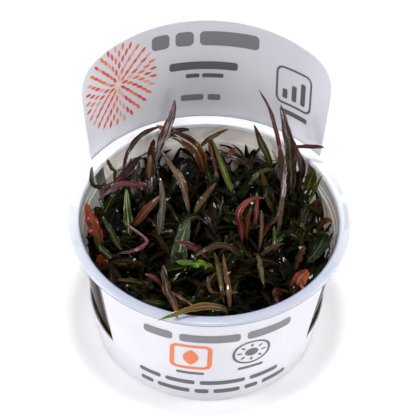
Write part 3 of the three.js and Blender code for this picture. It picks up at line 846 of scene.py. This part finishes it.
# The big leaves: name, points x,y,z from the base of the blade to its tip, greatest width, the way its upper
# side faces in degrees round from the front, palette, twist in degrees and how much it ripples
LEAVES = [
    ("tall_left", "-16,32,42 -14.5,33.5,48 -12,34,56 -10.5,34.5,62 -10,36,66", 2.7, -20, "silver", 30, 0.25),
    ("arched_left", "-27,27,42 -26,28,47 -24,30,51 -20,33,53.5 -15,35,54.5", 1.7, -30, "dark_red", 20, 0.3),
    ("yellow_tipped", "0,29,38 -2,32,45 -5,34,48 -11,36,51 -16,38,52", 4.2, 0, "ochre", -20, 0.3),
    ("upright_left", "-18,20,38 -18,24,43 -18,27,49 -17,28,56", 2.5, 10, "dark_red", 0, 0.2),
    ("hooked", "-30,21,43.5 -33,18,44.5 -36.5,16.5,47 -37,17,51 -37,18,54", 1.9, -40, "hook", 20, 0.1),
    ("small_back_left", "-30,24,41 -29.5,25,44 -31,24,48 -32,23.5,51.5", 1.8, -30, "pale_brown", 20, 0.3),
    ("magenta", "-35,11,45.5 -32,12.5,48 -28,15,48.5 -23,16,47.5 -19,17,46", 1.8, -20, "magenta", 10, 0.2),
    ("long_mauve", "-6,13,37 -7,16,42 -8.5,18.5,47 -11.5,21.5,50 -15,26,53", 2.3, 15, "mauve", -20, 0.35),
    ("orange_middle", "-24.5,8,35.5 -21.5,9,39.5 -18.5,10.5,43 -14.5,13,46", 2.5, -20, "orange", 20, 0.2),
    ("brown_middle", "-4,12,38 -2,14,40.5 0.5,16,43 3,18.5,45", 1.9, -25, "tan", 10, 0.3),
    ("broad_left", "-34.5,-4,41 -36,-1,45 -37.5,1,48 -39,4,52", 4.3, -25, "scarlet", 20, 0.4),
    ("green_striped", "-26,5,33 -25.5,8.5,36 -26,12,41 -26,15.5,46", 2.9, 0, "leaf_green", 0, 0.1),
    ("curled_pink", "-29,-8,41 -25,-9,43 -21.5,-8,44 -20,-6.5,45 -22,-4.5,46 -25,-2.5,47 -28,0,48",
     1.25, 0, "pink", 40, 0.3),
    ("broad_grey", "-11,-13,30 -10,-7,35 -8.5,-1,40 -6,5,43", 5.2, 10, "grey", -15, 0.12),
    ("green_upright", "11,16.5,33 8.5,21,38 6.5,24.5,42 4.5,29,46 2,34,50", 2.1, 10, "green", 10, 0.15),
    ("thin_back", "3.5,22.5,34 3.5,27.5,40 2.5,30.5,45 1,34.5,49.5", 1.2, 0, "dusk", 0, 0.1),
    ("green_right", "22,30,40 20,32,45 18,34,49 16,36,54", 2.5, 20, "brown_green", 10, 0.15),
    ("tallest", "27.5,20,37 28,22,43 27.5,24,49 27,25.5,55 25.5,28,61 24,32,67",
     3.7, 5, "bronze", -25, 0.25),
    ("thin_mauve", "24,27,43 24,28,51 22.5,30,58 20.5,33,64 17,37,69", 1.4, 10, "plum", 0, 0.25),
    ("level_red", "27.5,26,53.5 31,24.5,55 34.5,23.5,56 38,22,57", 1.4, 20, "wine", 20, 0.1),
    ("dark_striped", "30,20,39 31,21,45 31,21,50 29,22,56", 2.3, 20, "dark_red", 10, 0.3),
    ("rounded_olive", "32.5,17.5,40 33.5,18.5,44.5 34.5,18.5,50", 3.9, 0, "olive", 0, 0.1),
    ("small_green_right", "34,14,42 35,14.5,46 37,15,51.5", 1.5, 20, "leaf_green", 0, 0.1),
    ("arched_grey", "12,19,37 14,20,42 17,22,45.5 20,23,46 24,24,45", 1.6, 10, "sage", 20, 0.15),
    ("olive_upright", "23,13,34 21,15.5,39 19,17.5,44 17.5,19,50", 2.6, 0, "olive_brown", 0, 0.15),
    ("coral_curl", "11,1,36 10.5,3,40.5 9.5,3.5,45.5 11,5.5,48 14.5,7.5,49 18,8,48.5",
     2.1, 0, "coral", 30, 0.2),
    ("pink_upright", "15,7,35 16,10,40 16,13.5,45.5", 1.5, 0, "coral", 0, 0.1),
    ("orange_right", "35,0.5,40 36,1,43.5 37.5,0,46.5 39.3,-3,48.5", 2.1, 10, "orange_brown", 0, 0.2),
    ("rounded_dark", "31.5,-8.5,36 34,-7,39.5 36,-5.5,43 37,-5,46", 5.2, -5, "night", 0, 0.12),
    ("dark_magenta", "-0.5,-9,39 -3,-9,43 -7,-9,45.5 -11,-9,48", 2.4, 0, "plum_red", 20, 0.3),
    ("arched_green", "12,-8.5,35 9,-8,40 6,-8,43.5 2,-8.5,44.5 -2,-10,44 -5,-11,42",
     1.9, 0, "sage_red", 20, 0.25),
    ("bright_green", "1,-12,38 -2,-13,41 -6,-14.5,43 -11,-15,44.5", 2.2, 0, "lime", 0, 0.6),
    ("front_upright", "5,-21,30 3.5,-17,37 2,-14.5,43 1,-13.5,47", 1.6, 0, "silver_brown", 10, 0.2),
    ("front_long", "-15,-13,40 -14.5,-20,42.5 -14,-28,46 -12.5,-36,49.6 -11.5,-43.5,50.7",
     3.1, -10, "brown_silver", 25, 0.25),
    ("over_rim", "4,-37,45 2,-39,50 -2,-40,52 -7,-41,52.5 -12,-43,52.3 -18,-45,51.5",
     2.2, 0, "tipped", -20, 0.3),
    ("small_pink", "-16,-19,37 -17.5,-19,41 -21,-19,43.5", 1.3, -10, "pale_brown", 0, 0.2),
    ("short_brown", "2.5,-25,37.5 4,-25,40.5 8,-26.5,42.5", 1.3, 0, "pale_brown", 0, 0.2),
    ("folded_salmon", "27,-22,38 26.5,-22.5,41 27.5,-22,44 30,-20.5,46", 5, 0, "salmon", 10, 0.4),
    ("rounded_mauve", "23,-22.5,37 21,-25.5,40.5 19,-26.5,44", 4.6, 0, "dusk", 20, 0.5),
    ("mauve_right", "27,-12,36 28,-11.5,41 29.5,-11,46.5", 2.2, 0, "pale_brown", 0, 0.3),
    ("brown_right", "16,-8,38 19,-8,42 23.5,-8,44.5", 1.4, 0, "rust", 0, 0.2),
    ("brown_pink", "17.5,2,36 19.5,3,41 21.5,3,43.5 24,3.5,45.5", 1.6, 10, "rust", 0, 0.2),
    ("thin_brown", "12.5,1,36 12.5,2.5,42 13.5,4,48", 1.3, 0, "orange_brown", 0, 0.1),
    ("small_orange", "-33,-12,40 -34,-12.5,43 -35,-13,46", 2.8, -20, "ember", 0, 0.4),
    ("green_low", "-36.5,-2,43 -35,-4,40.5 -32.5,-5.5,38 -29,-7,35.5 -26,-6.5,34",
     2.2, -10, "green_brown", 0, 0.1),
    ("upright_front_left", "-15,-17.5,30 -18,-16.5,33.5 -22,-17,37 -26,-18.5,40 -30,-19.5,41.5",
     1.9, -20, "green_brown", 0, 0.2),
]

# Leaves that stand out among the crowd, in the same terms
MIDDLE_LEAVES = [
    ("-16,0,30 -15.5,6,36 -14.5,12,42 -15,19,47", 2.2, 0, "strap", 10, 0.15),
    ("-21,34,42 -24,29,42.5 -26.5,25,43 -30,21,42", 2.7, -20, "dark_purple", 20, 0.2),
    ("22.7,7.5,40 23.8,10,42 24.6,13.5,45 25.1,18,48.5 25.2,21,49.5", 1.7, 10, "silver", 40, 0.3),
    ("-2,35,44 1,36,47 4.5,37,49 8,37,51", 1.5, 0, "olive_brown", 0, 0.2),
    ("19,29,38 14,31,41 10,32,43 5,33,44", 2.8, 0, "dark_red", 20, 0.2),
    ("3,-22,37 0,-22,38 -1,-20,40 2,-17,42", 1.2, 0, "rust", 0, 0.1),
    ("5.3,-31,39 5.1,-26.7,43 4.4,-20.2,45 3.7,-14,47", 1.6, 0, "rust", 0, 0.3),
    ("3.7,-26,37 2.9,-22.9,41.5 2.2,-19.3,44.5 1.5,-17,46", 1.5, 0, "olive_brown", 0, 0.2),
    ("-13,-24.6,41 -9.6,-28,42 -5.7,-32.6,43", 1.1, 0, "rust", 0, 0.2),
    ("15,-10.6,42.5 15.4,-17,43 16.3,-22.8,41", 1.9, 20, "silver_brown", 0, 0.3),
    ("17,-18,36 16,-17,40 15,-16,44", 1.8, 0, "olive_brown", 0, 0.2),
    ("-28,-4,38 -30,-2,41 -32,1,44 -34,3,46", 2, -20, "striped", 0, 0.1),
    ("0,32,34 -4,33,37 -7,31,39 -9,29,39", 4.4, 0, "glossy_black", 20, 0.3),
    ("21,-5,36 21,-2,40 21,1,43", 1.4, 0, "striped", 0, 0.1),
    ("16,-4,36 17,1,41 17,6,45", 1.2, 0, "orange_brown", 0, 0.1),
    ("25,24,44 23.5,26,47 21.5,28,50", 1.1, 0, "green", 0, 0.1),
    ("30,4,38 31,8,42 33,9,44", 3.4, 40, "dark", 20, 0.2),
    ("29,-2,37 30,0,40 30,3,42", 2.2, 20, "tan", 0, 0.2),
    ("2,4,33 1,10,36 2,15,37", 4, 0, "glossy_black", 20, 0.2),
    ("-12,-20,30 -16,-24,35 -22,-26,39", 2.4, -20, "green_brown", 20, 0.2),
    ("10,-27,31 14,-30,36 17,-32,40", 2.2, 10, "glossy_black", 20, 0.2),
    ("-4,-24,31 -8,-29,36 -10,-33,39", 2.2, 0, "glossy_black", 20, 0.2),
    ("12,-22,32 11,-27,36 8,-31,38", 2, 0, "striped", 20, 0.2),
    ("-11,22,37 -8,28,40 -4,33,41", 4.4, 0, "glossy_black", 20, 0.2),
    ("-9,19,33 -5,24,36 -1,29,38", 4.4, 10, "glossy_black", -20, 0.2),
    ("3,16,32 6,21,35 10,27,38", 4, -10, "glossy_black", 20, 0.2),
    ("12,21,33 15,27,37 19,32,41", 3.2, 0, "dark_red", 0, 0.2),
    ("29,-21,32 25,-14,35 23,-7,38", 3.4, 10, "glossy_black", 0, 0.2),
    ("5,-19,30 9,-14,34 13,-9,37", 3.2, 0, "glossy_black", 20, 0.2),
    ("27,3,34 30,6,37 34,9,40", 3.6, 20, "night", 0, 0.1),
    ("-13,34,49 -11,35.5,51 -8,36,52 -5,35,53", 1.6, 0, "dark_red", 0, 0.3),
    ("30.5,19.5,40 31,22,46 29.5,24.5,52 27.5,26.5,57", 1.8, 20, "wine", 10, 0.2),
    ("-18.5,22,43 -18.5,23.5,47 -18,26,51", 1.5, 0, "pale_brown", 0, 0.1),
    ("7,29.5,44.5 8.5,31,46.5 10.5,31,49", 1.6, 0, "rust", 0, 0.2),
    ("24.7,18.5,41 24.6,23.5,47 24,28,52", 2, 0, "dark_red", 10, 0.2),
    ("33,9,36 35,11,40 35.8,12,43.5", 4.2, 10, "dark_red", 0, 0.3),
    ("-3,29,33 -6,31.5,37 -8.5,33.5,42", 5, 0, "glossy_black", 10, 0.2),
    ("-7,22,33 -5,27,37 -2,32,41", 5, -10, "glossy_black", 10, 0.2),
    ("-17.5,20,33 -18,25,39 -17.5,29,45", 4.2, 0, "dark", 20, 0.2),
    ("-22,19,35 -23,25,40 -21.5,29,44.5", 3.8, -10, "dark", 10, 0.3),
]

# Palettes: colour codes of a leaf's stalk, blade, tip, midrib and underside, then how strong its painted
# silvery sheen is and, where its tip is round, how far it is folded up
PALETTES = {
    "silver": ("4a4428 6a4a44 4c2620 b8a8a8 6c5458", 0.85),
    "dark": ("26300e 241610 3c1410 4e5c18 2c1c1a", 0.2),
    "dark_red": ("26300e 38180e 5a2412 5c4418 2c1610", 0.12, 0.3),
    "dark_purple": ("180c10 34202a 7c3424 4c3c30 241820", 0.25, 0.3),
    "pale_brown": ("4a4020 805444 946054 8c7a50 744c40", 0.12, 0.4),
    "ochre": ("3c2210 5c3018 c88a10 94582a 5e3420", 0.12),
    "rust": ("33300e 6c2c10 8c5a18 7c6c2a 7a3c28", 0.12),
    "hook": ("2c1c08 4a2c0c 8c7c1c 6c5c18 4c2c0f", 0.12, 0.4),
    "magenta": ("3c1c1c 743448 8a4858 9c6470 683444", 0.35, 0.35),
    "mauve": ("4a4428 6e5044 5c443c 84884a 6a5244", 0.4),
    "orange": ("3c2810 842e12 9c5a2a 8c6a2c 78321a", 0.12),
    "ember": ("7c3014 b85a30 c86c3c b87848 a85430", 0.12, 0.6),
    "orange_brown": ("38340e 703410 8c541c 84702a 6a361c", 0.12, 0.4),
    "tan": ("323a18 523428 84583c 80683c 4c3028", 0.12),
    "scarlet": ("5c5424 cc3408 b43810 6c6030 ac341a", 0.05),
    "striped": ("2a3a12 2c3010 4a3018 7ea030 3a3422", 0.12),
    "leaf_green": ("3c5010 424e1a 6c8024 a4bc4a 46542a", 0.12),
    "strap": ("3c4420 5c5448 5c4038 7c8448 58504a", 0.3, 0.2),
    "pink": ("5e3834 7c3a48 a0503a b07880 783c48", 0.5),
    "grey": ("2e3a1a 2c3422 383826 8aa052 34362c", 0.1),
    "green": ("3c3c14 4c5c16 60481c 90a83c 484a1c", 0.12),
    "brown_green": ("2c1408 402c10 6c3c28 7c9030 3a2818", 0.12),
    "green_brown": ("2a3a10 3c4814 643014 84963a 3a3a1c", 0.12),
    "bronze": ("3c3a24 402e2e 4c2820 7c742c 503c3a", 0.3),
    "brown_silver": ("382818 3c2428 a05828 7c8430 5a4640", 0.55),
    "silver_brown": ("3c3818 5c4a32 7c6c3c 8c8450 5a4a3a", 0.25),
    "plum": ("4a2420 703232 5c2626 8c5c5c 6c3634", 0.3),
    "plum_red": ("301414 581a24 843828 7c3c30 5a2028", 0.3),
    "wine": ("301414 5c1c24 7c3420 74362c 4c1c24", 0.25, 0.3),
    "olive": ("3c4810 52541a 6c5c24 848c28 4c4818", 0.12, 0.25),
    "olive_brown": ("3a4014 54481a 94501a 7c8a30 54481c", 0.12),
    "sage": ("344010 424c20 5c4828 748440 484a2a", 0.12),
    "sage_red": ("2c1810 5c2018 7c941c 5c5a24 481c18", 0.12),
    "coral": ("50322c a85654 b86c58 b87470 98484a", 0.12),
    "night": ("161e10 182412 1e2a12 3c5c20 1a2014", 0.12, 0.3),
    "lime": ("5c3424 689a20 84c02c 9cc050 5c7826", 0.12, 0.2),
    "tipped": ("64343a 783612 9cbc18 848c20 6c3416", 0.1),
    "salmon": ("c06850 d88c78 d45c28 e0a898 c87860", 0.2, 0.9),
    "dusk": ("442822 78463c 80402c 946450 703e38", 0.12, 0.7),
    "glossy_black": ("101408 14120e 2c1814 242e12 161412", 0.08, 0.25),
    "crowd_green": ("161c04 222806 30320a 586c14 242808", 0),
    "crowd_brown": ("180f06 281606 3c1e0a 504c10 2a1a10", 0.02),
    "crowd_black": ("080c04 0c1006 121606 24360a 0f120a", 0),
    "crowd_mauve": ("1c120c 301c18 42221e 4c4826 34201e", 0.05),
}


def add_leaf(leaves, row, phase, **settings):
    """Adds a leaf that is written as a row of one of the tables."""
    way, width, face, palette, twist, ripple = row
    path = Path([tuple(map(float, point.split(","))) for point in way.split()])
    fold = PALETTES[palette][2:]
    leaves.add(path, width, face, twist=twist, ripple=ripple, phase=phase, blunt=bool(fold),
               fold=fold[0] if fold else LEAF_FOLD, **settings)


def make_big_leaves():
    for k, (name, *row) in enumerate(LEAVES):
        leaves = Leaves()
        add_leaf(leaves, row, k * 1.9, on_stalk=True)
        leaves.make("blade_" + name, [LEAF_LOOKS[row[3]]], "leaf", ["leaf_" + name])


def make_middle_leaves():
    leaves = Leaves()
    palettes = sorted({row[3] for row in MIDDLE_LEAVES})
    for k, row in enumerate(MIDDLE_LEAVES):
        add_leaf(leaves, row, k * 2.3, look=palettes.index(row[3]), keep=inside_cup)
    leaves.make("middle_leaves", [LEAF_LOOKS[name] for name in palettes], "small_leaf", [])


def inside_cup(p, room=0.7):
    """Moves a point in to the cup's clear space where it would go through the wall."""
    if p.z > CUP_HEIGHT:
        return p
    limit = wall_radius(p.z) - WALL - room
    radius = hypot(p.x, p.y)
    return p if radius <= limit else Vector((p.x * limit / radius, p.y * limit / radius, p.z))


def crowd_top(p):
    """How high the crowd's leaves reach over a place. They stand higher behind and lower in the hollows."""
    top = CROWD_TOP + CROWD_BACK_RISE * smoothstep(p.y + 0.5 * p.x, 6, 24)
    for centre, radius, depth in HOLLOWS:
        away = hypot(p.x - centre[0], p.y - centre[1])
        top -= depth * (1 - smoothstep(away, 0, radius))
    return top


class Crowd:
    """Short shoots with long narrow leaves in pairs, each pair crossing the one below it, that arch over."""

    def __init__(self, seed):
        self.draw = random.Random(seed)
        self.leaves = Leaves()
        self.stems = Leaves()

    def shoot(self, foot, head, pairs):
        draw = self.draw
        bend = Vector((draw.uniform(-1, 1), draw.uniform(-1, 1), 0))
        path = Path((foot, (foot + head) / 2 + bend, head))
        points, faces = tube(path, radius=0.5, sides=6, steps=8)
        start = len(self.stems.points)
        self.stems.points += [inside_cup(p) for p in points]
        self.stems.faces += [tuple(start + v for v in face) for face in faces]
        turn = draw.uniform(0, 180)
        for pair in range(pairs):
            level = mix(0.15, 1.0, pair / (pairs - 1))
            for half in (0, 180):
                self.leaf(path.at(level), turn + 90 * pair + half, level)

    def leaf(self, root, way, level):
        draw = self.draw
        way = radians(way + draw.uniform(-25, 25))
        lift = radians(draw.uniform(0, 40) + 30 * level)
        length = draw.uniform(17, 32)
        side = outward(way)
        across = Vector((-side.y, side.x, 0))
        tip = root + (side * cos(lift) + UP * sin(lift)) * length
        tip.z = min(tip.z, crowd_top(tip) - draw.uniform(0, 4))
        sway = UP * draw.uniform(0.05, 0.22) + across * draw.uniform(-0.15, 0.15)
        face = degrees(atan2(-side.x, side.y)) + draw.uniform(-30, 30)
        path = Path((root, (root + tip) / 2 + sway * length, tip))
        self.leaves.add(path, draw.uniform(1.4, 3.2), face, look=draw.choice(CROWD_SHARES),
                        twist=draw.uniform(-90, 90), ripple=draw.uniform(0.1, 0.5), phase=draw.uniform(0, 6),
                        waves=2, thickness=0.3, steps=12, columns=4, keep=inside_cup)

    def make(self, leaves_name, stems_name, replaced=()):
        looks = [LEAF_LOOKS[name] for name in CROWD_PALETTES]
        self.leaves.make(leaves_name, looks, "small_leaf", replaced)
        make_piece(stems_name, self.stems.points, self.stems.faces, [STEM_LOOK])


def make_crowd():
    """Shoots spread evenly over the gel."""
    crowd = Crowd(seed=11)
    for k in range(CROWD_SHOOTS):
        share = sqrt((k + 0.5) / CROWD_SHOOTS)
        out = outward(k * GOLDEN_ANGLE)
        head = out * CROWD_HEAD_RING * share + UP * crowd.draw.uniform(20, 31)
        head += Vector((crowd.draw.uniform(-3, 3), crowd.draw.uniform(-3, 3), 0))
        crowd.shoot(out * CROWD_FOOT_RING * share + UP * GEL_TOP_Z, head, pairs=4)
    crowd.make("small_leaves", "thin_stems", ["low_leaves"])


def make_edge_crowd():
    """Shoots beside the wall, whose leaves press against it."""
    crowd = Crowd(seed=5)
    for k in range(EDGE_SHOOTS):
        out = outward(2 * pi * (k + crowd.draw.uniform(-0.3, 0.3)) / EDGE_SHOOTS)
        head = out * EDGE_HEAD_RING + UP * crowd.draw.uniform(24, 36)
        crowd.shoot(out * EDGE_FOOT_RING + UP * GEL_TOP_Z, head, pairs=5)
    crowd.make("edge_leaves", "edge_stems")


def make_floor():
    corners = [(x * FLOOR_HALF, y * FLOOR_HALF, 0) for x, y in ((-1, -1), (1, -1), (1, 1), (-1, 1))]
    mesh = bpy.data.meshes.new("floor")
    mesh.from_pydata([Vector(p) * MM for p in corners], [], [(0, 1, 2, 3)])
    mesh.materials.append(floor_look())
    floor = add_object("floor", mesh)


def make_camera():
    data = bpy.data.cameras.new("camera")
    data.lens = LENS
    data.sensor_width = SENSOR_WIDTH
    data.clip_start = 0.05
    camera = add_object("camera", data)
    elevation = radians(VIEW_ELEVATION)
    forward = Vector((0, cos(elevation), -sin(elevation)))
    turn = Matrix.Rotation(radians(VIEW_AZIMUTH), 4, "Z")
    place = turn @ Matrix.Translation((VIEW_AIM - VIEW_DISTANCE * forward) * MM)
    tilt = Matrix.Rotation(pi / 2 - elevation, 4, "X")
    camera.matrix_world = place @ tilt @ Matrix.Rotation(radians(VIEW_ROLL), 4, "Z")
    bpy.context.scene.camera = camera


def make_light(name, place, power, size):
    """A square soft light in metres that faces the tuft."""
    data = bpy.data.lights.new(name, "AREA")
    data.shape = "SQUARE"
    data.size = size
    data.energy = power
    light = add_object(name, data)
    light.location = place
    aim = Vector((0, 0, 0.05)) - Vector(place)
    light.rotation_euler = aim.to_track_quat("-Z", "Y").to_euler()


def make_studio():
    bpy.context.scene.view_settings.view_transform = "Standard"
    world = bpy.data.worlds.new("studio")
    world.use_nodes = True
    background = world.node_tree.nodes["Background"]
    background.inputs["Color"].default_value = (0.97, 0.98, 1.0, 1)
    background.inputs["Strength"].default_value = 0.13
    bpy.context.scene.world = world
    make_light("left_light", (-0.8, -0.12, 0.4), 3.9, 0.3)
    make_light("right_light", (0.8, -0.08, 0.4), 3.4, 0.3)
    make_light("top_light", (0, -0.03, 0.9), 5.0, 0.15)
    make_light("front_light", (0.1, -0.85, 0.5), 1.5, 0.2)


WALL_LOOK = wall_look("clear_wall", 0.88, ("7e8078", "847670"), "6a625c", 0.6, painted_dark_film=1.0)
MISTY_LOOK = wall_look("misty_wall", 0.2, ("ece6de", "f0e8e0"), "d2cac0", 0.4)
RIM_LOOK = rim_look()
SHEET_LOOK = sheet_look()
GEL_LOOK = gel_look()
STEM_LOOK = stem_look()
INK_LOOKS = [ink_look("ink_" + name, code) for name, code in INKS.items()]
LEAF_LOOKS = {name: leaf_look(name, codes, painted_sheen) for name, (codes, painted_sheen, *_) in PALETTES.items()}

make_camera()
make_studio()
make_floor()
make_cup()
make_sleeve()
make_back_print()
make_front_print()
make_gel()
make_stems()
make_big_leaves()
make_middle_leaves()
make_crowd()
make_edge_crowd()
